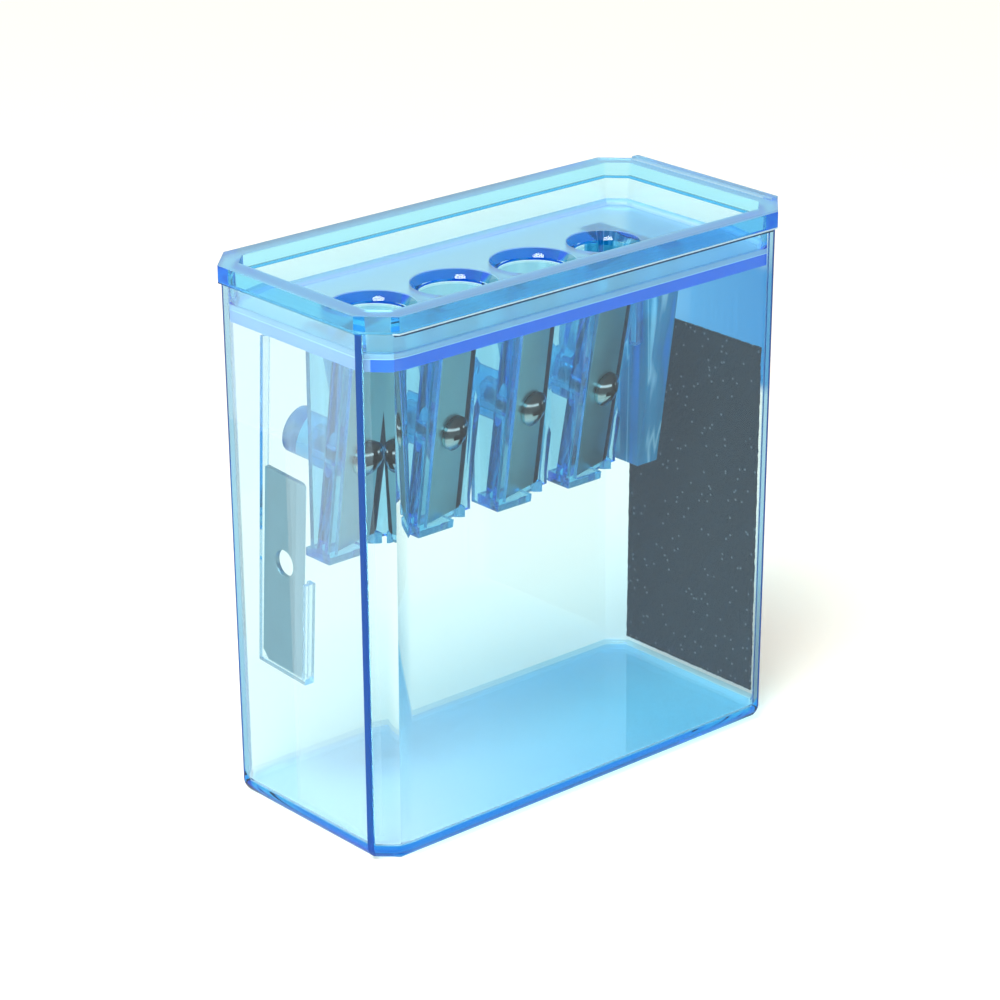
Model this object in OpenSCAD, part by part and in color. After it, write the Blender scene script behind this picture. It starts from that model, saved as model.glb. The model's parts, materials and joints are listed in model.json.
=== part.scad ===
/* [Container] */
// Outside length of the container at its mouth
tub_len = 63.5; // [58:0.5:75]
// Outside depth of the container at its mouth
tub_dep = 30; // [28:0.5:40]
// Height of the container without the lid
tub_h = 63.5; // [58:0.5:80]
// Corner chamfer of the container, seen from above
tub_corner = 3; // [2:0.1:5]
// Wall thickness of the container
tub_wall = 1.2; // [0.9:0.05:1.6]
// Floor thickness of the container
tub_floor = 1.5; // [1:0.1:2.5]
// Mould draft of the container's walls, in degrees
tub_draft = 0.5; // [0.2:0.1:0.8]
// Radius of the outside bottom edge
tub_edge = 2; // [1:0.1:3]
// Radius of the inside bottom edge
tub_inner_edge = 0.8; // [0.4:0.1:1.2]

/* [Lid] */
// How far the lid's rim stands out past the container
rim_out = 0.45; // [0.2:0.05:1.5]
// Height of the rim above the container's mouth
rim_h = 2.1; // [1.5:0.1:4]
// Corner chamfer of the rim, seen from above
rim_corner = 3.5; // [2.5:0.1:5]
// Length of the skirt that plugs into the container
skirt_h = 4.6; // [3:0.1:8]
// Sliding clearance between the skirt and the container
skirt_gap = 0.1; // [0.06:0.01:0.2]
// Wall thickness of the skirt at the tray floor
skirt_wall = 1; // [0.8:0.05:1.5]
// Thickness of the tray floor
tray_floor = 1.5; // [1.2:0.1:2.2]
// Slope of the tray's inner walls, in degrees
tray_draft = 5; // [2:0.5:7]
// Radius at the foot of the tray's walls
tray_edge = 0.5; // [0.2:0.1:0.9]
// Height of the pull lip on the rim's right end
lip_h = 0.4; // [0.2:0.1:1]
// Thickness of the pull lip
lip_t = 1; // [0.6:0.1:1.5]

/* [Pencil holes] */
// Diameter of the three standard pencil holes
hole_d = 8.4; // [7.8:0.1:8.8]
// Diameter of the fourth, slim pencil hole
slim_hole_d = 7; // [6.4:0.1:7.8]
// Distance between neighbouring standard holes
hole_pitch = 12.1; // [11.8:0.1:12.8]
// Distance between the third hole and the slim one
slim_pitch = 11.2; // [10.9:0.1:12]
// Distance of the first hole from the container's left end
hole_inset = 13.55; // [13.15:0.1:14.35]
// How far the row of holes lies behind the middle of the lid
hole_back = 2; // [1:0.1:3]
// Width of the bevel round each hole
hole_bevel = 1; // [0.4:0.1:1.1]
// Half angle of the point that the standard holes cut, in degrees
point_angle = 8.5; // [8:0.1:9.5]
// Half angle of the point that the slim hole cuts, in degrees
slim_point_angle = 11; // [10:0.1:12]
// Radius of the cone at the pencil's tip
tip_r = 0.65; // [0.4:0.05:0.9]

/* [Sharpener block] */
// Room between a blade's upper end and the tray floor
head_room = 1.46; // [1.2:0.02:2]
// Wall of the sleeve round each pencil cone
sleeve_wall = 1; // [0.8:0.05:1.3]
// Thickness of the plate behind each blade
seat_t = 1.8; // [1.4:0.1:2.4]
// Turn of each blade about its cutting edge, in degrees
seat_twist = 12; // [8:0.5:14]
// Distance from a hole's axis to the cutting edge, towards the blade
edge_offset = 0.5; // [0.3:0.05:0.8]
// Width of the post beside each blade
post_w = 1.1; // [0.9:0.05:1.3]
// How far the post stands in front of the blade
post_proud = 0.5; // [0.2:0.1:0.9]
// Thickness of the ledge under each blade
ledge_t = 1; // [0.7:0.1:1.4]
// Length of the ledge from the post's outer side
ledge_len = 5.2; // [4:0.1:6]
// Width of the cheek that closes the block's right end
cheek_w = 3.2; // [2:0.1:3.6]
// Depth of the cheek from front to back at its foot
cheek_dep = 10; // [8:0.1:12]
// Clearance between a blade and the plastic round it
blade_gap = 0.08; // [0.05:0.01:0.15]

/* [Blades] */
// Length of a blade
blade_len = 24; // [22.5:0.1:24.2]
// Width of a blade
blade_w = 7.3; // [7:0.1:7.5]
// Thickness of a blade
blade_t = 0.6; // [0.45:0.05:0.8]
// Width of the ground bevel along the cutting edge
grind_w = 1; // [0.6:0.1:1.5]
// Thickness left at the cutting edge
edge_t = 0.08; // [0.04:0.02:0.16]
// Width of the honed strip on the flat side
hone_w = 0.8; // [0.4:0.1:1]
// Depth of the honed strip at the cutting edge
hone_t = 0.06; // [0.02:0.02:0.1]
// Diameter of the blade's screw hole
blade_hole_d = 3.2; // [2.9:0.1:3.4]
// Height of the screw hole above the lower end of a mounted blade
blade_hole_z = 10.8; // [10:0.1:14]
// Size of the clipped corner
blade_clip = 1; // [0.4:0.1:1.4]

/* [Screws] */
// Diameter over the screw's thread
screw_d = 2.2; // [1.8:0.1:2.4]
// Depth of the thread's grooves
thread_depth = 0.2; // [0.1:0.05:0.3]
// Distance between the thread's turns
thread_pitch = 0.8; // [0.6:0.1:1]
// Length of the screw under its head
screw_len = 5.8; // [4.5:0.1:6.4]
// Diameter of the screw's head
head_d = 4.2; // [3.9:0.1:4.6]
// Height of the screw's head
head_h = 1.3; // [1:0.1:1.6]
// Height of the straight side of the head
head_side = 0.5; // [0.2:0.1:0.7]
// Width of the cross recess
recess_w = 0.62; // [0.5:0.02:0.7]
// Length of the cross recess
recess_len = 2.4; // [2:0.1:2.8]
// Depth of the cross recess
recess_dep = 0.8; // [0.5:0.1:0.9]
// Wall of plastic round the screw
boss_wall = 1.7; // [1.2:0.1:1.8]
// Length of the boss behind the seat
boss_len = 9; // [7.5:0.1:10]
// Running clearance round the screw
screw_gap = 0.05; // [0.03:0.01:0.08]
// Gap between the screw's head and the blade
head_gap = 0.03; // [0.02:0.01:0.06]

/* [Spare blade holder] */
// Place of the spare blade's middle, behind the middle of the container
spare_y = 4.1; // [2:0.1:5]
// Height of the spare blade's lower end above the table
spare_z = 18.8; // [14:0.1:24]
// Lean of the holder towards the front, in degrees
holder_lean = 3.5; // [0:0.5:4]
// Distance of the spare blade from the wall at the holder's foot
spare_gap = 0.1; // [0.08:0.01:0.2]
// Sliding clearance of the spare blade in its holder
slide_gap = 0.08; // [0.05:0.01:0.12]
// Thickness of the holder's rails
rail_t = 0.5; // [0.4:0.05:0.8]
// How far the holder's lips reach over the spare blade
rail_lip = 0.5; // [0.3:0.05:0.7]
// Length of the spare blade that the holder grips
grip_len = 12; // [8:0.5:14]

/* [Abrasive sheet] */
// Thickness of the abrasive sheet
sheet_t = 0.4; // [0.3:0.05:0.8]
// Margin between the sheet and the wall's side edges
sheet_margin = 0.1; // [0.1:0.1:2]
// Height of the sheet's lower edge above the container's floor
sheet_foot = 1.2; // [1:0.1:4]
// Height of the sheet
sheet_h = 44.9; // [30:0.5:46]

/* [Hidden] */
$fn = 64;

plastic = [0.45, 0.72, 0.95, 0.45];
steel = [0.55, 0.6, 0.62];
bright_steel = [0.75, 0.77, 0.78];
grit = [0.24, 0.29, 0.34];

over = 1;                                  // overshoot of cutting bodies
seam = 0.01;                               // overlap that joins touching solids
left = -1;
right = 1;

// lid levels, above the table
rim_top = tub_h + rim_h;
skirt_foot = tub_h - skirt_h;
tray_top = skirt_foot + tray_floor;
edge_clear = 0.5;                          // rise of a blade's lower end over the ledge
blade_foot = skirt_foot - head_room - blade_len * cos(point_angle);
ledge_top = blade_foot - edge_clear;
block_foot = ledge_top - ledge_t;
slot_head = 1.2;                           // plastic left between a shavings slot and the tray floor
slot_top = skirt_foot - slot_head;

// one entry for each pencil hole
first_hole_x = hole_inset - tub_len / 2;
hole_x = [first_hole_x, first_hole_x + hole_pitch, first_hole_x + 2 * hole_pitch,
          first_hole_x + 2 * hole_pitch + slim_pitch];
hole_r = [hole_d / 2, hole_d / 2, hole_d / 2, slim_hole_d / 2];
angle = [point_angle, point_angle, point_angle, slim_point_angle];
units = len(hole_x) - 1;

post_side = edge_offset + blade_w * cos(seat_twist) + blade_gap + post_w; // axis to post's outer side
seat_step = blade_w * sin(seat_twist) + blade_t + post_proud;             // cutting edge to post's face
edge_y = hole_back - tip_r;                // cutting edge at the blade's lower end
screw_x = -blade_w / 2;                    // screw's place in a blade's own frame
boss_r = screw_d / 2 + boss_wall;
screw_tip_r = 0.1;                         // radius left at the screw's tip
thread_fill = 0.8;                         // share of each turn that the thread fills
screw_end_gap = 0.5;                       // room beyond the screw's tip
cheek_x = hole_x[units] + hole_r[units] - sleeve_wall; // left side of the right-hand cheek

function wall_lean(h) = h * tan(tub_draft);

// side outline of a drafted body, with rounded foot edges
module side_outline(half, height, slope, edge_r) {
    low = half - (height - edge_r) * tan(slope);
    polygon([[-half, height], [-low, edge_r], [edge_r - low, 0],
             [low - edge_r, 0], [low, edge_r], [half, height]]);
    for (s = [left, right])
        translate([s * (low - edge_r), edge_r]) circle(r = edge_r);
}

// one slab of a drafted body, standing on its foot and turned about Z
module side_slab(turn, half, reach, height, slope, edge_r) {
    rotate([90, 0, turn])
        linear_extrude(height = 2 * reach, center = true)
            side_outline(half, height, slope, edge_r);
}

// eight-sided body with drafted walls: half sizes and corner chamfer are those of its top
module drafted_body(half_x, half_y, corner, height, slope, edge_r) {
    diagonal = (half_x + half_y - corner) / sqrt(2);
    reach = half_x + half_y;
    intersection() {
        side_slab(0, half_x, reach, height, slope, edge_r);
        side_slab(90, half_y, reach, height, slope, edge_r);
        side_slab(45, diagonal, reach, height, slope, edge_r);
        side_slab(-45, diagonal, reach, height, slope, edge_r);
    }
}

// eight-sided plate with straight sides
module octagon_plate(half_x, half_y, corner, height) {
    linear_extrude(height = height)
        polygon([[half_x, corner - half_y], [half_x, half_y - corner],
                 [half_x - corner, half_y], [corner - half_x, half_y],
                 [-half_x, half_y - corner], [-half_x, corner - half_y],
                 [corner - half_x, -half_y], [half_x - corner, -half_y]]);
}

// chamfer of a wall's inner side that keeps the wall even all round
function inset_corner(corner, wall) = corner - wall * (2 - sqrt(2));

/* container */

inner_half_x = tub_len / 2 - tub_wall;
inner_half_y = tub_dep / 2 - tub_wall;
inner_corner = inset_corner(tub_corner, tub_wall);

module tub_shell() {
    difference() {
        drafted_body(tub_len / 2, tub_dep / 2, tub_corner, tub_h, tub_draft, tub_edge);
        translate([0, 0, tub_floor])
            drafted_body(inner_half_x + wall_lean(over), inner_half_y + wall_lean(over), inner_corner,
                         tub_h - tub_floor + over, tub_draft, tub_inner_edge);
    }
}

// frame of the spare blade: x out of the wall, z along the blade, y across it
spare_back = -inner_half_x + wall_lean(tub_h - spare_z) + spare_gap;
module at_spare() {
    translate([spare_back, spare_y, spare_z]) rotate([holder_lean, 0, 0]) children();
}

rail_side = blade_w / 2 + slide_gap;
rail_front = blade_t + slide_gap + rail_t;
rail_foot = rail_t + slide_gap;
guide_top = (skirt_foot - spare_z) / cos(holder_lean) - 2 * rail_side * tan(holder_lean);

module blade_holder() {
    intersection() {
        at_spare() {
            for (s = [left, right]) {
                translate([-over, s > 0 ? rail_side : -rail_side - rail_t, -rail_foot])
                    cube([rail_front + over, rail_t, rail_foot + grip_len]);
                translate([rail_front - rail_t, s > 0 ? rail_side - rail_lip : -rail_side - seam, -rail_foot])
                    cube([rail_t, rail_lip + seam, rail_foot + grip_len]);
            }
            translate([-over, -rail_side - seam, -rail_foot])
                cube([rail_front + over, 2 * rail_side + 2 * seam, rail_t]);
            translate([-over, rail_side, grip_len - seam])
                cube([blade_t + over, rail_t, guide_top - grip_len]);
        }
        drafted_body(tub_len / 2 - tub_wall / 2, tub_dep / 2, tub_corner, tub_h, tub_draft, tub_edge);
    }
}

module container() {
    color(plastic) union() {
        tub_shell();
        blade_holder();
    }
}

/* lid */

skirt_half_x = inner_half_x - skirt_gap;
skirt_half_y = inner_half_y - skirt_gap;
skirt_corner = inset_corner(inner_corner, skirt_gap);
tray_spread = (rim_top - tray_top) * tan(tray_draft);
tray_half_x = skirt_half_x - skirt_wall + tray_spread;
tray_half_y = skirt_half_y - skirt_wall + tray_spread;
tray_corner = inset_corner(skirt_corner, skirt_wall) + tray_spread;
rim_half_x = tub_len / 2 + rim_out;
rim_half_y = tub_dep / 2 + rim_out;

module tray() {
    difference() {
        union() {
            translate([0, 0, skirt_foot])
                drafted_body(skirt_half_x, skirt_half_y, skirt_corner, skirt_h + seam, tub_draft, seam);
            translate([0, 0, tub_h])
                octagon_plate(rim_half_x, rim_half_y, rim_corner, rim_h);
            translate([rim_half_x - lip_t, rim_corner - rim_half_y, rim_top - seam])
                cube([lip_t, 2 * (rim_half_y - rim_corner), lip_h + seam]);
        }
        translate([0, 0, tray_top])
            drafted_body(tray_half_x + over * tan(tray_draft), tray_half_y + over * tan(tray_draft),
                         tray_corner, rim_top - tray_top + over, tray_draft, tray_edge);
    }
}

// frame of a mounted blade: its cutting edge runs up z from the origin, its flat side is y = 0
module at_blade(i) {
    translate([hole_x[i] - edge_offset, edge_y, blade_foot])
        rotate([angle[i], 0, 0]) rotate([0, 0, seat_twist]) children();
}

// everything in front of the block's leaning front face
module front_space() {
    span = tub_len;
    translate([0, edge_y - seat_step, blade_foot]) rotate([point_angle, 0, 0])
        translate([-span / 2, -span, -span / 2]) cube([span, span, 2 * span]);
}

// upright body from the leaning front face back to y = rear
module front_wall(x0, width, rear, z0, z1) {
    difference() {
        translate([x0, -tub_dep / 2, z0]) cube([width, tub_dep / 2 + rear, z1 - z0]);
        front_space();
    }
}

module pencil_bore(i) {
    cone_h = (hole_r[i] - tip_r) / tan(angle[i]);
    translate([hole_x[i], hole_back, 0]) {
        translate([0, 0, block_foot - over]) cylinder(h = blade_foot - block_foot + over + seam, r = tip_r);
        translate([0, 0, blade_foot]) cylinder(h = cone_h, r1 = tip_r, r2 = hole_r[i]);
        translate([0, 0, blade_foot + cone_h - seam])
            cylinder(h = tray_top - blade_foot - cone_h + over, r = hole_r[i]);
        translate([0, 0, tray_top - hole_bevel])
            cylinder(h = hole_bevel + seam, r1 = hole_r[i], r2 = hole_r[i] + hole_bevel + seam);
    }
}

// cone-shaped sleeve that guides the pencil
module sleeve(i) {
    cone_h = (hole_r[i] - tip_r) / tan(angle[i]);
    translate([hole_x[i], hole_back, 0]) {
        translate([0, 0, block_foot]) cylinder(h = blade_foot - block_foot + seam, r = tip_r + sleeve_wall);
        translate([0, 0, blade_foot])
            cylinder(h = cone_h, r1 = tip_r + sleeve_wall, r2 = hole_r[i] + sleeve_wall);
        translate([0, 0, blade_foot + cone_h - seam])
            cylinder(h = skirt_foot - blade_foot - cone_h + 2 * seam, r = hole_r[i] + sleeve_wall);
    }
}

// round boss that the blade's screw bites into
module screw_boss(i) {
    at_blade(i) translate([screw_x, 0, blade_hole_z]) rotate([-90, 0, 0])
        cylinder(h = boss_len, r = boss_r);
}

module seat_plate(i) {
    intersection() {
        at_blade(i) translate([-blade_w - post_w - blade_gap, 0, -tub_h / 2])
            cube([blade_w + post_w + blade_gap, seat_t, 2 * tub_h]);
        translate([hole_x[i] - post_side, -tub_dep / 2, block_foot])
            cube([post_side, tub_dep, skirt_foot - block_foot + seam]);
    }
}

module unit_solid(i) {
    rear = i == 0 ? edge_y + seat_t / 2 : hole_back + sleeve_wall + tip_r;
    front_wall(hole_x[i] - post_side, post_w, rear, block_foot, skirt_foot + seam);
    front_wall(hole_x[i] - post_side, ledge_len, edge_y + seat_t, block_foot, ledge_top);
    seat_plate(i);
    screw_boss(i);
    sleeve(i);
}

// room for the blade and for the shavings that leave beside its cutting edge
module unit_space(i) {
    slot_end = i < units ? hole_x[i + 1] - post_side : cheek_x;
    slot_foot = block_foot - over;
    cone_top = blade_foot + (hole_r[i] - tip_r) / tan(angle[i]);
    at_blade(i) translate([-blade_w - blade_gap, -tub_dep / 2, -blade_gap])
        cube([blade_w + blade_gap + over, tub_dep / 2, blade_len + 2 * blade_gap]);
    translate([hole_x[i] - edge_offset, -tub_dep / 2, slot_foot])
        cube([slot_end - hole_x[i] + edge_offset, tub_dep / 2 + hole_back, min(cone_top, slot_top) - slot_foot]);
}

module screw_hole(i) {
    at_blade(i) translate([screw_x, -over, blade_hole_z]) rotate([-90, 0, 0])
        cylinder(h = screw_len - blade_t + screw_end_gap + over, r = screw_d / 2 + screw_gap);
}

module lid() {
    color(plastic) difference() {
        union() {
            tray();
            difference() {
                union() {
                    for (i = [0 : units]) unit_solid(i);
                    front_wall(cheek_x, cheek_w, edge_y - seat_step + cheek_dep, block_foot, skirt_foot + seam);
                }
                for (i = [0 : units]) unit_space(i);
            }
        }
        for (i = [0 : units]) pencil_bore(i);
        for (i = [0 : units]) screw_hole(i);
    }
}

/* blades */

// flat blade in its own frame: cutting edge on z, flat side on y = 0, body towards -x and -y
module blade_plate() {
    difference() {
        translate([-blade_w, -blade_t, 0]) cube([blade_w, blade_t, blade_len]);
        translate([0, 0, -over]) linear_extrude(height = blade_len + 2 * over) {
            polygon([[-grind_w, -blade_t], [0, -hone_t - edge_t], [over, -hone_t - edge_t],
                     [over, -blade_t - over], [-grind_w, -blade_t - over]]);
            polygon([[-hone_w, 0], [0, -hone_t], [over, -hone_t], [over, over], [-hone_w, over]]);
        }
        translate([screw_x, over, blade_hole_z]) rotate([90, 0, 0])
            cylinder(h = blade_t + 2 * over, r = blade_hole_d / 2);
        translate([-blade_w, 0, blade_len]) rotate([0, 45, 0])
            cube([blade_clip * sqrt(2), 2 * (blade_t + over), blade_clip * sqrt(2)], center = true);
    }
}

module mounted_blade(i) {
    color(steel) at_blade(i) blade_plate();
}

module spare_blade() {
    color(steel) at_spare() translate([0, -blade_w / 2, blade_len])
        rotate([0, 0, -90]) rotate([180, 0, 0]) blade_plate();
}

/* screws */

// domed head with a cross recess and a threaded shank, pointing along +z from its seat at z = 0
module cross_screw() {
    dome_h = head_h - head_side;
    dome_r = (head_d * head_d / 4 + dome_h * dome_h) / (2 * dome_h);
    turns = floor((screw_len - thread_pitch) / thread_pitch);
    root = screw_d / 2 - thread_depth;
    thread_h = thread_fill * thread_pitch;
    difference() {
        intersection() {
            translate([0, 0, -head_h]) cylinder(h = head_h, r = head_d / 2);
            translate([0, 0, dome_r - head_h]) sphere(r = dome_r);
        }
        for (a = [0, 90]) rotate([0, 0, a])
            translate([-recess_len / 2, -recess_w / 2, -head_h - over])
                cube([recess_len, recess_w, recess_dep + over]);
    }
    translate([0, 0, -seam]) cylinder(h = screw_len - screw_d / 2 + seam, r = root);
    translate([0, 0, screw_len - screw_d / 2]) cylinder(h = screw_d / 2, r1 = root, r2 = screw_tip_r);
    rotate_extrude() for (k = [0 : turns - 1])
        translate([0, thread_pitch * (k + 1)])
            polygon([[0, 0], [root, 0], [screw_d / 2, thread_h / 2], [root, thread_h], [0, thread_h]]);
}

module blade_screw(i) {
    color(bright_steel) at_blade(i)
        translate([screw_x, -blade_t - head_gap, blade_hole_z]) rotate([-90, 0, 0]) cross_screw();
}

/* abrasive sheet */

module abrasive_sheet() {
    flat = inner_half_y - inner_corner - wall_lean(tub_h) * (sqrt(2) - 1);
    color(grit) translate([inner_half_x - wall_lean(tub_h - tub_floor - sheet_foot), 0, tub_floor + sheet_foot])
        rotate([0, tub_draft, 0])
            translate([-sheet_t, sheet_margin - flat, 0]) cube([sheet_t, 2 * (flat - sheet_margin), sheet_h]);
}

container();
lid();
mounted_blade(0);  // blade_1
mounted_blade(1);  // blade_2
mounted_blade(2);  // blade_3
mounted_blade(3);  // blade_4
blade_screw(0);  // blade_screw_1
blade_screw(1);  // blade_screw_2
blade_screw(2);  // blade_screw_3
blade_screw(3);  // blade_screw_4
spare_blade();
abrasive_sheet();
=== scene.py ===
import json
import math
import bpy
from mathutils import Matrix, Vector


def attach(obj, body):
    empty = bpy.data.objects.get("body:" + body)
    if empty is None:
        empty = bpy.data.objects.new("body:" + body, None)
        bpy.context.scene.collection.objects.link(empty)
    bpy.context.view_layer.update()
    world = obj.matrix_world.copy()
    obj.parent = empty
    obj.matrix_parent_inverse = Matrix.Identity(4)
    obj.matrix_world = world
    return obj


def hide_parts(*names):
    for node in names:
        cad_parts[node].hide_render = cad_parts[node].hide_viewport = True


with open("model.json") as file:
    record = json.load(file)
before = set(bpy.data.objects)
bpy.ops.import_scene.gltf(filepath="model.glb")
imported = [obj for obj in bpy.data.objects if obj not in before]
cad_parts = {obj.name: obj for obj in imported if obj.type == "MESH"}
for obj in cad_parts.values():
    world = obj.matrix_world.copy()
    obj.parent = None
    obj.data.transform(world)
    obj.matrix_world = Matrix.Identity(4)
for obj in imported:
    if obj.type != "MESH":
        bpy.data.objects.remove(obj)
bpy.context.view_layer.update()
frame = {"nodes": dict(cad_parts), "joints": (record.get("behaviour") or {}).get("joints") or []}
nodes = frame["nodes"]
mm = 0.001
print("frame loaded with", len(nodes), "nodes")


# a shader socket that can be used in sums
class Value:
    def __init__(self, finish, socket):
        self.finish = finish
        self.socket = socket

    def joined(self, operation, first, second):
        return self.finish.add("ShaderNodeMath", {"operation": operation}, {0: first, 1: second})

    def __add__(self, other):
        return self.joined("ADD", self, other)

    def __radd__(self, other):
        return self.joined("ADD", other, self)

    def __sub__(self, other):
        return self.joined("SUBTRACT", self, other)

    def __rsub__(self, other):
        return self.joined("SUBTRACT", other, self)

    def __mul__(self, other):
        return self.joined("MULTIPLY", self, other)

    def __rmul__(self, other):
        return self.joined("MULTIPLY", other, self)

    def __gt__(self, other):
        return self.joined("GREATER_THAN", self, other)

    def __lt__(self, other):
        return self.joined("LESS_THAN", self, other)


# a material or a world, whose nodes are all made through add
class Finish:
    def __init__(self, owner):
        self.owner = owner
        self.owner.use_nodes = True
        self.tree = owner.node_tree
        self.tree.nodes.clear()

    def add(self, kind, settings=None, inputs=None, output=0):
        node = self.tree.nodes.new(kind)
        for key, setting in (settings or {}).items():
            if key == "stops":
                ramp = node.color_ramp
                while len(ramp.elements) < len(setting):
                    ramp.elements.new(1.0)
                for element, (place, shade) in zip(ramp.elements, setting):
                    colour = (shade, shade, shade) if isinstance(shade, float) else shade
                    element.position = place
                    element.color = (*colour, 1)
            else:
                setattr(node, key, setting)
        for key, given in (inputs or {}).items():
            socket = node.inputs[key]
            if isinstance(given, Value):
                self.tree.links.new(given.socket, socket)
            elif socket.type == "RGBA":
                socket.default_value = (*given, 1)
            else:
                socket.default_value = given
        return Value(self, node.outputs[output]) if node.outputs else None

    def place(self, scale=(1, 1, 1), turn=(0, 0, 0)):
        here = self.add("ShaderNodeTexCoord", output="Object")
        radians = tuple(math.radians(angle) for angle in turn)
        return self.add("ShaderNodeMapping", None, {"Vector": here, "Scale": scale, "Rotation": radians})

    def noise(self, place, scale, detail=2.0, rough=0.5):
        return self.add("ShaderNodeTexNoise", None,
                        {"Vector": place, "Scale": scale, "Detail": detail, "Roughness": rough})

    def ramp(self, value, stops):
        return self.add("ShaderNodeValToRGB", {"stops": stops}, {"Fac": value})

    def blend(self, share, first, second):
        return self.add("ShaderNodeMix", {"data_type": "RGBA"}, {0: share, 6: first, 7: second}, 2)

    def size(self, value):
        return self.add("ShaderNodeMath", {"operation": "ABSOLUTE"}, {0: value})

    def larger(self, first, second):
        return self.add("ShaderNodeMath", {"operation": "MAXIMUM"}, {0: first, 1: second})

    def bump(self, height, strength, distance):
        return self.add("ShaderNodeBump", None,
                        {"Height": height, "Strength": strength, "Distance": distance})

    def surface(self, **inputs):
        named = {key.replace("_", " "): given for key, given in inputs.items()}
        return self.add("ShaderNodeBsdfPrincipled", None, named)

    def end(self, surface, volume=None):
        isWorld = isinstance(self.owner, bpy.types.World)
        inputs = {"Surface": surface}
        if volume:
            inputs["Volume"] = volume
        self.add("ShaderNodeOutputWorld" if isWorld else "ShaderNodeOutputMaterial", None, inputs)
        return self.owner


plastic = {
    "ior": 1.5,
    "passes": (0.06, 0.79, 0.962),  # share of red, green and blue that it lets by
    "bounces": 8.5,  # past these a ray goes straight on, so that thick parts don't turn black
    "trapped": 2.5,  # reflections inside a wall, past which its light leaves as the edge colour
    "edge": (0.4, 0.82, 1.0),
    "shadow": (0.93, 0.94, 0.93),
    "roughness": 0.015,
    "smudges": 90.0,  # scale of the uneven polish
    "smudgeRoughness": (0.4, 1.2),  # shares of the roughness: where it is clean, and what smudges add
    "grainStrength": 0.25,
    "grainDepth": 0.02,  # mm
    "mattRoughness": 0.6,
    "bodyColour": (1, 1, 1),
}


# colour, frosting (roughness and grain) and matt (share and colour of a layer) depend on x, y, z in mm
def plasticFinish(name, density, colour, frosting=None, matt=None):
    finish = Finish(bpy.data.materials.new(name))
    place = finish.place()
    split = [finish.add("ShaderNodeSeparateXYZ", None, {"Vector": place}, axis) for axis in "XYZ"]
    x, y, z = (value * (1 / mm) for value in split)
    smudge = finish.noise(place, plastic["smudges"], detail=3.0, rough=0.6)
    clean, smudged = plastic["smudgeRoughness"]
    roughness = plastic["roughness"] * (clean + smudged * smudge)
    inputs = {"IOR": plastic["ior"], "Transmission_Weight": 1.0, "Base_Color": colour(finish, x, y, z)}
    if frosting:
        frost, grain = frosting(finish, x, y, z)
        roughness = roughness + frost
        inputs["Normal"] = finish.bump(grain, plastic["grainStrength"], plastic["grainDepth"] * mm)
    shell = finish.surface(Roughness=roughness, **inputs)
    if matt:
        share, shade = matt(finish, x, y, z)
        layer = finish.surface(Base_Color=shade, Roughness=plastic["mattRoughness"])
        shell = finish.add("ShaderNodeMixShader", None, {0: share, 1: shell, 2: layer})
    # light that is past its depth, trapped in a wall or on its way to a shadow goes straight on
    for path, limit, past in (("Ray Depth", plastic["bounces"], (1, 1, 1)),
                              ("Glossy Depth", plastic["trapped"], plastic["edge"]),
                              ("Is Shadow Ray", 0.5, plastic["shadow"])):
        straight = finish.add("ShaderNodeBsdfTransparent", None, {"Color": past})
        reached = finish.add("ShaderNodeLightPath", output=path) > limit
        shell = finish.add("ShaderNodeMixShader", None, {0: reached, 1: shell, 2: straight})
    tint = finish.add("ShaderNodeVolumeAbsorption", None, {"Color": plastic["passes"], "Density": density})
    return finish.end(shell, tint)


container = {
    "density": 150.0,  # of the tint, per metre
    "bottomShades": [(0.1, (0.86, 0.82, 0.95)), (0.8, (0.34, 0.66, 0.84))],  # painted shade of the tinted light and shadow under the box, darker towards the right, from left to right
    "bottomLength": 60.0,  # mm
    "bottomTo": 1.6,  # mm above the table
    # painted shade on the right end wall above the sheet, deeper blue towards the front, from front to back
    "shadeEnd": [(0.0, (0.05, 0.31, 0.72)), (0.55, (0.1, 0.4, 0.8)), (1.0, (0.24, 0.58, 0.9))],
    "shadeEndFrom": 30.1,  # x, mm
    "shadeEndReach": 12.0,  # y to both sides
    "shadeEndWidth": 26.0,
    "shadeEndHeights": [(0.63, 0.0), (0.65, 1.0), (0.86, 1.0), (0.92, 0.0)],  # shares of the height
    "height": 66.0,  # with the lid
    # painted shade: a deep blue line along upright edges, where the rounded edges pipe and bend the light
    "edgeColour": (0.0005, 0.09, 0.75),
    "paintedEdgeLine": (0.0, 0.09, 0.42),
    "edgeCover": 0.7,
    "edgeWidth": 0.3,  # mm
    "edges": [(-31.5, 12.0), (31.5, -12.0), (28.5, -14.8)],  # x and y of upright edges with a painted dark line
    "markedEdge": (-31.5, -12.0),  # the one with the strongest painted line
    "markedWidth": 0.45,
    "softEdge": (-28.5, -14.8),  # the one without a painted line, which is widely rounded
    "softWidth": 1.5,
    "cornerReach": 0.9,  # how far from its place such an edge may lie
    "width": 0.12,  # of all other rounded edges
    "mouthFrom": 63.1,  # mm, the shaded line under the rim's front
    "mouthFront": -14.6,
    "mouthColour": (0.0, 0.012, 0.05),
    "mouthCover": 0.9,
    "glareAt": (-28.6, 12.0, 3.0),  # painted glare on the left end wall: x, half its width, and z of its foot
    "glareBeside": (1.4, 47.5),  # in front of and above the spare blade: y and z, mm
    "glareColour": (0.9, 0.97, 1.0),
    "glareCover": 0.1,
}


def containerColour(finish, x, y, z):
    # painted shade: on the bottom, and on the right end wall above the sheet
    bottom = finish.ramp(0.5 + x * (1 / container["bottomLength"]), container["bottomShades"])
    shade = finish.blend(z < container["bottomTo"], plastic["bodyColour"], bottom)
    share = finish.ramp(z * (1 / container["height"]), container["shadeEndHeights"])
    share = share * (x > container["shadeEndFrom"]) * (finish.size(y) < container["shadeEndReach"])
    end = finish.ramp(0.5 + y * (1 / container["shadeEndWidth"]), container["shadeEnd"])
    return finish.blend(share, shade, end)


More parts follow.
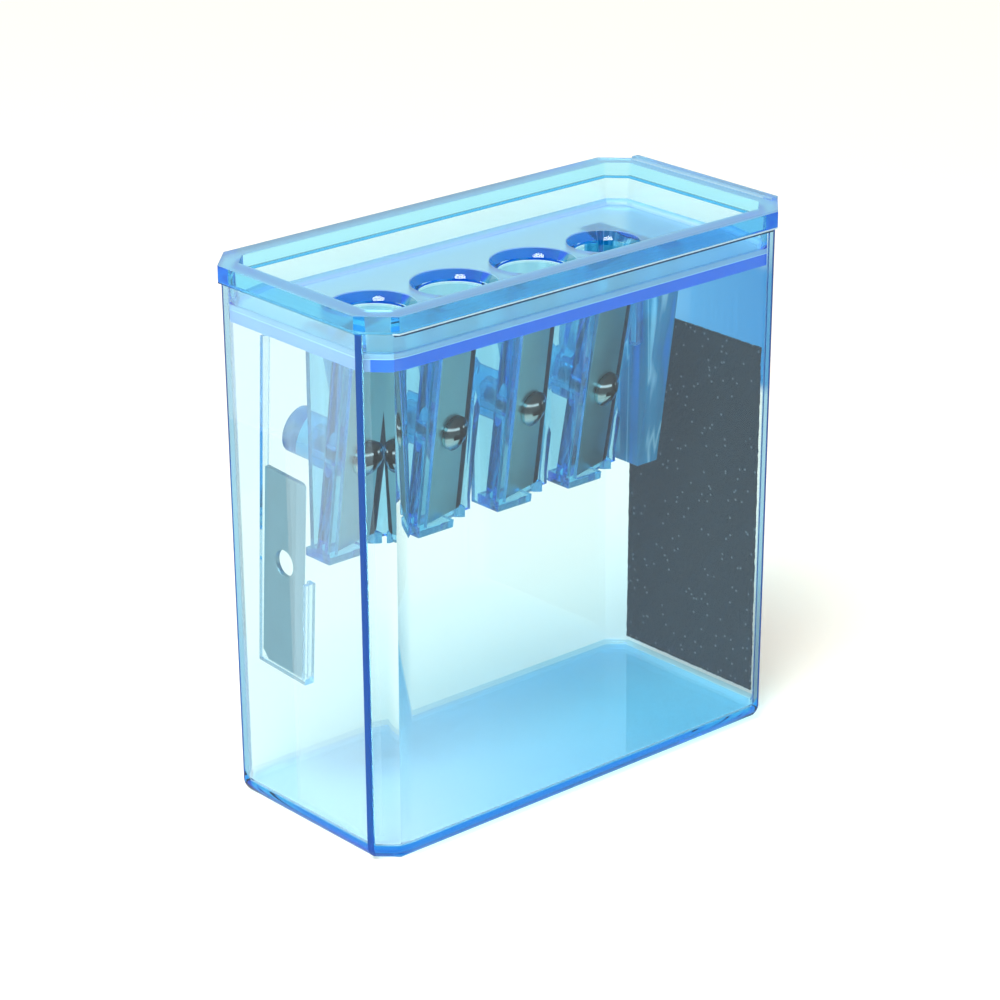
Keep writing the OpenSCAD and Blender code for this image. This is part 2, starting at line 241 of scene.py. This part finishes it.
def containerMatt(finish, x, y, z):
    mouth = (z > container["mouthFrom"]) * (y < container["mouthFront"])
    endX, endReach, endFoot = container["glareAt"]
    besideY, aboveZ = container["glareBeside"]
    # painted glare: a pale layer over the left end wall, in front of and above the spare blade
    glare = (x < endX) * (finish.size(y) < endReach) * (z > endFoot)
    glare = glare * finish.larger(y < besideY, z > aboveZ)
    share = mouth * container["mouthCover"] + glare * container["glareCover"]
    return share, finish.blend(mouth, container["glareColour"], container["mouthColour"])


# the painted deep blue line of the upright edges
def containerEdgeColour(finish, x, y, z):
    return container["edgeColour"]


def containerEdgeMatt(finish, x, y, z):
    return container["edgeCover"], container["paintedEdgeLine"]


lid = {
    "density": 400.0,
    "blockColour": (0.6, 0.88, 0.96),
    "blockTo": 58.8,  # mm above the table
    "rimShades": [(0.0, (0.55, 0.8, 0.97)), (0.7, (0.2, 0.5, 0.86))],  # from left to right
    "rimFront": (-14.9, 63.0),  # y and z of the rim's front face, mm
    "length": 64.0,
    "trayAt": (60.3, 60.95),  # the tray floor and the foot of its walls
    "trayFloorDepth": 0.12,  # of what counts as the floor's face
    "trayRoughness": 0.22,
    "trayColour": (0.55, 0.85, 0.98),
    "trayCover": 0.3,
    "topFrom": 65.55,
    "topRoughness": 0.35,  # the rim's top is textured in the mould
    "topGrain": 9000.0,
    "topColour": (0.3, 0.55, 0.76),
    "topCover": 0.5,
    "stripTop": 60.4,  # the tray floor's edge, where its light comes out
    "stripOut": 13.3,
    "stripCorner": 41.0,  # sizes of x and y added, at the corners
    "stripColour": (0.0, 0.18, 0.95),
    "stripEnd": -29.9,  # x of the left end's strip, which is paler
    "stripEndColour": (0.3, 0.5, 0.85),
    "stripCover": 0.85,
    "blockCover": 0.15,
    "cheekFrom": 19.6,  # x where the block's right cheek starts
    # upright dark and bright streaks of the right-hand cheek
    "cheekShades": [(0.3, (0.08, 0.42, 0.6)), (0.4, (0.02, 0.28, 0.42)), (0.47, (0.05, 0.4, 0.56)),
                    (0.5, (0.5, 0.9, 1.0)), (0.54, (0.04, 0.38, 0.56)), (0.62, (0.02, 0.28, 0.44)),
                    (0.72, (0.0, 0.3, 0.85))],
    "cheekMarks": 420.0,  # scale of their noise
    "cheekStretch": (1, 1, 0.04),
    "cheekCover": 0.45,
    "skirtFront": (60.95, -13.3),  # z and y of the skirt's tinted front, mm
    "skirtShades": [(0.04, (1.0, 1.0, 1.0)), (0.1, (0.74, 0.9, 1.0)), (1.0, (0.42, 0.76, 1.0))],
    "cornerFrom": 42.2,  # sizes of x and y added, at the rim's back left and front right corners, which get a painted deep blue shade
    "cornerColour": (0.01, 0.16, 0.8),
    "cornerCover": 0.8,
    "lineTo": 63.68,  # mm, the painted highlight along the foot of the rim's front
    "lineColour": (0.7, 0.92, 1.0),
    "lineCover": 0.7,
    "footColour": (0.5, 0.8, 0.97),  # of the tray's walls
    "footCover": 0.6,
    "width": 0.05,  # of its rounded edges
}


def lidColour(finish, x, y, z):
    along = 0.5 + x * (1 / lid["length"])
    frontY, rimFoot = lid["rimFront"]
    front = (y < frontY) * (z > rimFoot)
    skirtFoot, skirtY = lid["skirtFront"]
    skirt = (z > skirtFoot) * (z < rimFoot) * (y < skirtY)
    shade = finish.blend(z < lid["blockTo"], plastic["bodyColour"], lid["blockColour"])
    shade = finish.blend(skirt, shade, finish.ramp(along, lid["skirtShades"]))
    return finish.blend(front, shade, finish.ramp(along, lid["rimShades"]))


def lidFrosting(finish, x, y, z):
    top = z > lid["topFrom"]
    trayFrom, trayTo = lid["trayAt"]
    tray = (z > trayFrom) * (z < trayTo)
    grain = finish.noise(finish.place(), lid["topGrain"], detail=2.0, rough=0.7)
    return top * lid["topRoughness"] + tray * lid["trayRoughness"], grain * top


def lidMatt(finish, x, y, z):
    trayFrom, trayTo = lid["trayAt"]
    frontY, rimFoot = lid["rimFront"]
    floorTo = trayFrom + lid["trayFloorDepth"]
    cornered = finish.size(x) + finish.size(y)
    top = z > lid["topFrom"]
    block = z < lid["blockTo"]
    leftEnd = x < lid["stripEnd"]
    outer = finish.larger(finish.size(y) > lid["stripOut"], cornered > lid["stripCorner"])
    strip = (z < lid["stripTop"]) * (1 - block) * finish.larger(outer, leftEnd)
    milk = lid["blockCover"] + (x > lid["cheekFrom"]) * lid["cheekCover"]
    floor = (z > trayFrom) * (z < floorTo)
    foot = (z > floorTo) * (z < trayTo)
    line = (z > rimFoot) * (z < lid["lineTo"]) * (y < frontY)
    # painted shade at two corners of the rim
    corner = (cornered > lid["cornerFrom"]) * (x * y < 0) * (z > lid["lineTo"]) * (1 - top)
    cover = top * lid["topCover"] + strip * lid["stripCover"] + block * milk
    cover = cover + foot * lid["footCover"] + floor * lid["trayCover"]
    cover = cover + line * lid["lineCover"] + corner * lid["cornerCover"]
    marks = finish.noise(finish.place(lid["cheekStretch"]), lid["cheekMarks"], detail=2.0, rough=0.4)
    shade = finish.blend(leftEnd, lid["stripColour"], lid["stripEndColour"])
    for share, colour in ((block, finish.ramp(marks, lid["cheekShades"])), (foot, lid["footColour"]),
                          (floor, lid["trayColour"]), (line, lid["lineColour"]),
                          (corner, lid["cornerColour"]), (top, lid["topColour"])):
        shade = finish.blend(share, shade, colour)
    return cover, shade


blade = {
    "colour": (0.27, 0.6, 0.64),  # steel tinted teal, a painted reflection of the blue floor it mirrors
    "spareColour": (0.36, 0.52, 0.55),
    "roughness": 0.36,
    "edgeWidth": 0.04,  # mm, rounding of the stamped edges
    # painted reflection along the cutting edge: dark on the mounted blades, light on the spare
    "groundReflection": (0.03, 0.05, 0.065),
    "groundWidth": 1.6,  # of the painted reflection strip along the cutting edge, mm
    "groundAngles": (20, 40),  # degrees between which the ground face leans
    "spareGroundReflection": (0.46, 0.62, 0.65),
    "streaks": {"scale": (60.0, 60.0, 6.0), "turn": (0, 9, 0)},  # brushed along the blade
    "streakScale": 60.0,
    "streakRoughness": 0.12,
    "patches": 260.0,  # scale of the slightly darker and lighter places
    "patchShades": (0.92, 1.08),
    "patchRoughness": 0.1,
    "scratches": {"scale": (900.0, 900.0, 40.0), "turn": (25, 40, 0)},
    "scratchScale": 3.0,
    "scratchFrom": [(0.62, 0.0), (0.68, 1.0)],
    "scratchHeight": 0.4,
    "reliefStrength": 0.12,
    "reliefDepth": 0.01,  # mm
}


# across points to the cutting edge, which lies reach metres along it
def bladeFinish(name, colour, ground, across, reach):
    finish = Finish(bpy.data.materials.new(name))
    outward = finish.add("ShaderNodeVectorMath", {"operation": "DOT_PRODUCT"},
                         {0: finish.place(), 1: tuple(across)}, "Value")
    strip = outward > reach - blade["groundWidth"] * mm
    streaks = finish.noise(finish.place(**blade["streaks"]), blade["streakScale"], detail=4.0, rough=0.65)
    patches = finish.noise(finish.place(), blade["patches"], detail=3.0, rough=0.6)
    fine = finish.noise(finish.place(**blade["scratches"]), blade["scratchScale"], detail=5.0, rough=0.7)
    scratches = finish.ramp(fine, blade["scratchFrom"])
    darker, lighter = (tuple(share * c for c in colour) for share in blade["patchShades"])
    shade = finish.blend(patches, darker, lighter)
    # painted reflection along the cutting edge
    shade = finish.blend(strip, shade, ground)
    roughness = blade["roughness"] + blade["streakRoughness"] * (streaks - 0.5)
    roughness = roughness + blade["patchRoughness"] * (patches - 0.5)
    relief = streaks + blade["scratchHeight"] * scratches
    normal = finish.bump(relief, blade["reliefStrength"], blade["reliefDepth"] * mm)
    return finish.end(finish.surface(Base_Color=shade, Metallic=1.0, Roughness=roughness, Normal=normal))


screw = {
    # painted reflections of the room and the lamp: dark and bright bands across the head, from its lower
    # side to its upper side
    "bands": [(0.1, (0.3, 0.4, 0.36)), (0.3, (0.55, 0.7, 0.62)), (0.46, (0.45, 0.56, 0.5)),
              (0.52, (0.06, 0.08, 0.08)), (0.68, (0.04, 0.05, 0.05)), (0.72, (0.9, 0.95, 0.93)),
              (0.75, (0.9, 0.95, 0.93)), (0.79, (0.05, 0.06, 0.06))],
    # painted shade in the cross recess
    "paintedRecessShade": (0.01, 0.013, 0.013),
    "recess": (1.3, 1.0),  # reach from the axis and from the head's top, mm
    "recessFloor": 0.5,  # share of that depth below which level faces are the recess's floor
    "recessFacing": (0.3, 0.95),  # its sides face along the axis by less than this, its floor by more
    "roughness": 0.1,
    "wear": 900.0,  # scale of the worn places
    "wearRoughness": 0.18,
    "wearStrength": 0.15,
    "wearDepth": 0.02,  # mm
    "edgeWidth": 0.06,
}


# upward is one over the head's radius long, and middle is the axis's place along it
def screwFinish(name, upward, middle, recessed):
    finish = Finish(bpy.data.materials.new(name))
    colour = screw["paintedRecessShade"]
    if not recessed:
        height = finish.add("ShaderNodeVectorMath", {"operation": "DOT_PRODUCT"},
                            {0: finish.place(), 1: tuple(upward)}, "Value")
        # painted reflections across the head
        colour = finish.ramp(0.5 + 0.5 * (height - middle), screw["bands"])
    wear = finish.noise(finish.place(), screw["wear"], detail=3.0, rough=0.6)
    roughness = screw["roughness"] + screw["wearRoughness"] * (wear - 0.5)
    normal = finish.bump(wear, screw["wearStrength"], screw["wearDepth"] * mm)
    return finish.end(finish.surface(Base_Color=colour, Metallic=1.0, Roughness=roughness, Normal=normal))


sheet = {
    "colour": (0.006, 0.015, 0.026),
    "lighter": (0.02, 0.034, 0.05),
    "grain": 3200.0,
    "sparks": 1500.0,  # scale of the grains that may sparkle
    "sparkReach": 0.24,
    "sparkFrom": 0.9,  # one grain in ten sparkles
    "spark": (0.09, 0.13, 0.16),
    "sparkPolish": 0.4,
    "roughness": 0.9,
    "shine": 0.2,
    "grainStrength": 0.4,
    "grainDepth": 0.05,  # mm
    "cuts": 110,  # across the sheet and up it
    "cutFrom": 5.0,  # mm, edges longer than this are cut up
    "grit": 0.2,  # mm, how far the grains' gaps go in
    "gritSize": 0.45,
}


def gritFinish():
    finish = Finish(bpy.data.materials.new("coarse_grit"))
    place = finish.place()
    grain = finish.noise(place, sheet["grain"], detail=3.0, rough=0.7)
    nearest = {"Vector": finish.place((0, 1, 1)), "Scale": sheet["sparks"]}
    away = finish.add("ShaderNodeTexVoronoi", None, nearest, "Distance")
    chance = finish.add("ShaderNodeTexVoronoi", None, nearest, "Color")
    red = finish.add("ShaderNodeSeparateColor", None, {"Color": chance}, 0)
    sparkle = (red > sheet["sparkFrom"]) * (away < sheet["sparkReach"])
    shade = finish.blend(grain, sheet["colour"], sheet["lighter"])
    shade = finish.blend(sparkle, shade, sheet["spark"])
    roughness = sheet["roughness"] - sheet["sparkPolish"] * sparkle
    normal = finish.bump(grain, sheet["grainStrength"], sheet["grainDepth"] * mm)
    return finish.end(finish.surface(Base_Color=shade, Roughness=roughness, Normal=normal,
                                     Specular_IOR_Level=sheet["shine"]))


# how a copy of a solid is cleaned and softened
shaping = {
    "merged": 0.002,  # mm, points closer than this become one
    "flat": 0.2,  # degrees under which neighbouring faces become one
    "sharp": 30,  # degrees from which an edge is rounded
    "smooth": 50,  # degrees up to which shading is smooth
    "turned": 30,  # least degrees between the two walls at an upright edge
    "level": 0.1,  # least level part of a wall's normal
    "rise": 0.05,  # mm, least height of such an edge
}


def pickOnly(piece):
    bpy.ops.object.select_all(action="DESELECT")
    piece.select_set(True)
    bpy.context.view_layer.objects.active = piece


# picks each edge that wanted(its ends in mm, the normals of its faces) is true of, for edit mode
def pickEdges(piece, wanted):
    sides = {}
    for face in piece.data.polygons:
        for key in face.edge_keys:
            sides.setdefault(key, []).append(face.normal.copy())
    points = piece.data.vertices
    pickOnly(piece)
    bpy.ops.object.mode_set(mode="EDIT")
    bpy.ops.mesh.select_mode(type="EDGE")
    bpy.ops.mesh.select_all(action="DESELECT")
    bpy.ops.object.mode_set(mode="OBJECT")
    for edge in piece.data.edges:
        ends = [points[index].co / mm for index in edge.vertices]
        edge.select = wanted(ends, sides[edge.key])
    print(piece.name, sum(edge.select for edge in piece.data.edges), "edges picked")
    bpy.ops.object.mode_set(mode="EDIT")


def roundEdges(piece, wanted, width, segments, slot):
    pickEdges(piece, wanted)
    bpy.ops.mesh.bevel(offset=width * mm, segments=segments, affect="EDGES", material=slot,
                       clamp_overlap=True)
    bpy.ops.object.mode_set(mode="OBJECT")


# an edge that runs up the outside near the corner (x, y), down to the foot of the wall
def uprightAt(corner, reach):
    def wanted(ends, normals):
        near = all(abs(end.x - corner[0]) < reach and abs(end.y - corner[1]) < reach for end in ends)
        rises = abs(ends[0].z - ends[1].z) > shaping["rise"]
        walls = len(normals) == 2 and all(normal.xy.length > shaping["level"] for normal in normals)
        if not (near and rises and walls):
            return False
        turned = normals[0].xy.angle(normals[1].xy) > math.radians(shaping["turned"])
        outward = (normals[0] + normals[1]).xy.dot(Vector(corner)) > 0
        return turned and outward
    return wanted


# the fresh mesh of a CAD node, with its loose triangles joined and its flat faces whole
def shapeCopy(node):
    piece = nodes[node].copy()
    piece.data = nodes[node].data.copy()
    piece.parent = None
    piece.name = node + "_shape"
    for key in list(piece.keys()):
        del piece[key]
    bpy.context.scene.collection.objects.link(piece)
    pickOnly(piece)
    if piece.data.has_custom_normals:
        bpy.ops.mesh.customdata_custom_splitnormals_clear()
    bpy.ops.object.mode_set(mode="EDIT")
    bpy.ops.mesh.select_all(action="SELECT")
    bpy.ops.mesh.remove_doubles(threshold=shaping["merged"] * mm)
    bpy.ops.mesh.dissolve_limited(angle_limit=math.radians(shaping["flat"]))
    bpy.ops.object.mode_set(mode="OBJECT")
    return piece


def soften(piece, width, segments=2):
    pickOnly(piece)
    bevel = piece.modifiers.new("softened", "BEVEL")
    bevel.width = width * mm
    bevel.segments = segments
    bevel.limit_method = "ANGLE"
    bevel.angle_limit = math.radians(shaping["sharp"])
    bevel.miter_outer = "MITER_ARC"
    bpy.ops.object.modifier_apply(modifier=bevel.name)
    bpy.ops.object.shade_smooth_by_angle(angle=math.radians(shaping["smooth"]))
    evened = piece.modifiers.new("flat_faces_kept", "WEIGHTED_NORMAL")
    evened.mode = "FACE_AREA"
    evened.weight = 100  # the largest face decides
    evened.keep_sharp = True
    bpy.ops.object.modifier_apply(modifier=evened.name)


def dress(piece, node, finishes, body):
    indices = [face.material_index for face in piece.data.polygons]  # clear sets them all to 0
    piece.data.materials.clear()
    for finish in finishes:
        piece.data.materials.append(finish)
    piece.data.polygons.foreach_set("material_index", indices)
    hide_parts(node)
    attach(piece, body)


def makeContainer():
    clear = plasticFinish("clear_blue_container", container["density"], containerColour,
                          matt=containerMatt)
    dark = plasticFinish("painted_edge_line", container["density"], containerEdgeColour,
                         matt=containerEdgeMatt)
    piece = shapeCopy("container")
    piece.data.materials.append(dark)
    reach = container["cornerReach"]
    roundEdges(piece, uprightAt(container["softEdge"], reach), container["softWidth"], segments=6, slot=0)
    marked = [(container["markedEdge"], container["markedWidth"])]
    for corner, width in marked + [(corner, container["edgeWidth"]) for corner in container["edges"]]:
        roundEdges(piece, uprightAt(corner, reach), width, segments=2, slot=1)
    soften(piece, container["width"])
    dress(piece, "container", [clear, dark], "container")


def makeLid():
    clear = plasticFinish("clear_blue_lid", lid["density"], lidColour, lidFrosting, lidMatt)
    piece = shapeCopy("lid")
    soften(piece, lid["width"], segments=1)
    dress(piece, "lid", [clear], "lid")


def makeBlade(name, body, colour, ground):
    piece = shapeCopy(name)
    points = [point.co.copy() for point in piece.data.vertices]
    flat = max(piece.data.polygons, key=lambda face: face.area).normal.copy()
    sides = [points[edge.vertices[0]] - points[edge.vertices[1]] for edge in piece.data.edges]
    along = max(sides, key=lambda side: side.length).normalized()
    across = flat.cross(along).normalized()
    steepest, flattest = (math.cos(math.radians(angle)) for angle in reversed(blade["groundAngles"]))
    bevelled = [face for face in piece.data.polygons
                if steepest < abs(face.normal.dot(flat)) < flattest]
    middle = sum(points, Vector()) / len(points)
    if sum((face.center - middle).dot(across) for face in bevelled) < 0:
        across.negate()
    reach = max(point.dot(across) for point in points)
    steel = bladeFinish(name + "_steel", colour, ground, across, reach)
    soften(piece, blade["edgeWidth"])
    dress(piece, name, [steel], body)
    print(name, len(bevelled), "ground faces")


def makeScrew(number):
    name = f"blade_screw_{number}"
    piece = shapeCopy(name)
    joint = next(joint for joint in frame["joints"] if joint["child"] == f"screw_{number}")
    foot, axis = Vector(joint["pos_m"]), Vector(joint["axis"]).normalized()
    top = max((point.co - foot).dot(axis) for point in piece.data.vertices)
    reach, depth = screw["recess"]
    sideFacing, floorFacing = screw["recessFacing"]
    for face in piece.data.polygons:
        rise = (face.center - foot).dot(axis)
        aside = (face.center - foot - rise * axis).length
        facing = abs(face.normal.dot(axis))
        inside = aside < reach * mm and top - rise < depth * mm
        sunk = top - rise > screw["recessFloor"] * depth * mm
        walled = facing < sideFacing or (facing > floorFacing and sunk)
        face.material_index = 1 if inside and walled else 0
    print(name, sum(face.material_index for face in piece.data.polygons), "recess faces")
    upward = (Vector((0, 0, 1)) - axis.z * axis).normalized()
    arms = [point.co - foot for point in piece.data.vertices]
    radius = max((arm - arm.dot(axis) * axis).length for arm in arms)
    middle = foot.dot(upward) / radius
    finishes = [screwFinish(f"{name}_{part}", upward / radius, middle, part == "recess")
                for part in ("head", "recess")]
    soften(piece, screw["edgeWidth"])
    dress(piece, name, finishes, f"screw_{number}")


def makeSheet():
    piece = shapeCopy("abrasive_sheet")
    pickEdges(piece, lambda ends, normals: (ends[1] - ends[0]).length > sheet["cutFrom"])
    bpy.ops.mesh.subdivide(number_cuts=sheet["cuts"])
    bpy.ops.object.mode_set(mode="OBJECT")
    grains = bpy.data.textures.new("grains", "CLOUDS")
    grains.noise_scale = sheet["gritSize"] * mm
    uneven = piece.modifiers.new("grains", "DISPLACE")
    uneven.texture = grains
    uneven.texture_coords = "LOCAL"
    uneven.strength = sheet["grit"] * mm
    uneven.mid_level = 1.0
    bpy.ops.object.modifier_apply(modifier=uneven.name)
    print("sheet has", len(piece.data.polygons), "faces")
    dress(piece, "abrasive_sheet", [gritFinish()], "container")


makeContainer()
makeLid()
print("container and lid dressed")
for name in ("blade_1", "blade_2", "blade_3", "blade_4"):
    makeBlade(name, "lid", blade["colour"], blade["groundReflection"])
makeBlade("spare_blade", "spare_blade", blade["spareColour"], blade["spareGroundReflection"])
for number in (1, 2, 3, 4):
    makeScrew(number)
print("blades and screws dressed")
makeSheet()
print("abrasive sheet gritted")


stage = {
    "floorSize": 4.0,  # m
    "floorDrop": 0.1,  # mm below the part, so that the two faces stay apart
    "floorColour": (0.95, 0.89, 0.79),
    "mirroredFloor": (0.55, 0.58, 0.6),  # as shiny faces mirror it
    "floorLift": 0.26,  # light added to the floor as the camera and the plastic see it
    "farLift": (0.45, 0.5, 0.6),  # the same far away, where the lamp is weak
    "farFrom": (0.3, 0.6),  # shares of half the floor's side
    "ambient": 0.6,
    "roomShades": [(0.2, 0.35), (0.45, 0.55), (0.62, 0.8), (0.8, 1.0)],  # what shiny faces mirror
    "roomUp": 0.4,  # how much the shades rise upwards
    "roomLeft": 0.3,  # and to the left
    "floorRoughness": 0.9,
    "floorShine": 0.1,
    "keySize": 0.5,  # m
    "keyPlace": (-0.55, -0.25, 0.9),
    "keyTarget": (0, 0, 0.03),
    "keyPower": 9.0,  # W
}


# rays from the camera, also through the plastic or mirrored, but none that light a surface
def seenDirectly(finish):
    camera = finish.add("ShaderNodeLightPath", output="Is Camera Ray")
    glossy = finish.add("ShaderNodeLightPath", output="Is Glossy Ray")
    through = finish.add("ShaderNodeLightPath", output="Is Transmission Ray")
    return finish.larger(finish.larger(camera, through), glossy)


# rays that have been mirrored once or twice, but aren't trapped in the plastic
def mirrored(finish):
    depth = finish.add("ShaderNodeLightPath", output="Glossy Depth")
    return (depth > 0.5) * (depth < plastic["trapped"])


def makeFloor():
    bpy.ops.object.select_all(action="DESELECT")
    bpy.ops.mesh.primitive_plane_add(size=stage["floorSize"], location=(0, 0, -stage["floorDrop"] * mm))
    floor = bpy.context.object
    floor.name = "floor"
    finish = Finish(bpy.data.materials.new("floor_paper"))
    paper = {"Roughness": stage["floorRoughness"], "Specular_IOR_Level": stage["floorShine"]}
    matt = finish.surface(Base_Color=stage["floorColour"], **paper)
    dim = finish.surface(Base_Color=stage["mirroredFloor"], **paper)
    away = finish.add("ShaderNodeVectorMath", {"operation": "LENGTH"}, {0: finish.place()}, "Value")
    nearEnd, farStart = stage["farFrom"]
    near = tuple(stage["floorLift"] * c for c in stage["floorColour"])
    lift = finish.ramp(away * (2 / stage["floorSize"]), [(nearEnd, near), (farStart, stage["farLift"])])
    glow = finish.add("ShaderNodeEmission", None, {"Color": lift, "Strength": seenDirectly(finish)})
    lit = finish.add("ShaderNodeAddShader", None, {0: matt, 1: glow})
    shown = finish.add("ShaderNodeMixShader", None, {0: mirrored(finish), 1: lit, 2: dim})
    floor.data.materials.append(finish.end(shown))


def makeLight():
    world = Finish(bpy.data.worlds.new("studio"))
    direction = world.add("ShaderNodeTexCoord", output="Generated")
    upward = world.add("ShaderNodeSeparateXYZ", None, {"Vector": direction}, "Z")
    sideways = world.add("ShaderNodeSeparateXYZ", None, {"Vector": direction}, "X")
    height = 0.5 + stage["roomUp"] * upward - stage["roomLeft"] * sideways
    room = world.ramp(height, stage["roomShades"])
    shiny = mirrored(world)
    plain = stage["ambient"] + (1 - stage["ambient"]) * seenDirectly(world)
    strength = plain * (1 - shiny) + room * shiny
    world.end(world.add("ShaderNodeBackground", None, {"Color": (1, 1, 1), "Strength": strength}))
    bpy.context.scene.world = world.owner
    bpy.ops.object.light_add(type="AREA", location=stage["keyPlace"])
    key = bpy.context.object
    key.name = "key_light"
    key.data.shape = "DISK"
    key.data.size = stage["keySize"]
    key.data.energy = stage["keyPower"]
    toPart = Vector(stage["keyTarget"]) - Vector(stage["keyPlace"])
    key.rotation_euler = toPart.to_track_quat("-Z", "Y").to_euler()


view = {
    "turn": -41.27,  # degrees round the part, where 0 looks along +Y
    "height": 21.63,  # degrees above the table
    "roll": -0.27,
    "distance": 343.12,  # mm
    "target": (-38.086, -42.199, 55.062),  # mm
    "lens": 123.34,  # mm on a 36 mm sensor
    "nearest": 10.0,  # mm, nothing closer is drawn
}


def makeCamera():
    turn, height, roll = (math.radians(view[key]) for key in ("turn", "height", "roll"))
    back = Vector((math.sin(turn) * math.cos(height), -math.cos(turn) * math.cos(height), math.sin(height)))
    right = Vector((math.cos(turn), math.sin(turn), 0))
    up = back.cross(right)
    rolledRight = right * math.cos(roll) + up * math.sin(roll)
    rolledUp = up * math.cos(roll) - right * math.sin(roll)
    bpy.ops.object.camera_add()
    camera = bpy.context.object
    camera.name = "camera"
    turned = Matrix((rolledRight, rolledUp, back)).transposed().to_4x4()
    target = Vector(view["target"]) * mm
    camera.matrix_world = Matrix.Translation(target + back * view["distance"] * mm) @ turned
    camera.data.lens = view["lens"]
    camera.data.clip_start = view["nearest"] * mm
    camera.data.dof.use_dof = False
    bpy.context.scene.camera = camera


makeFloor()
makeLight()
makeCamera()
bpy.context.scene.view_settings.view_transform = "Standard"
print("stage, light and camera set")
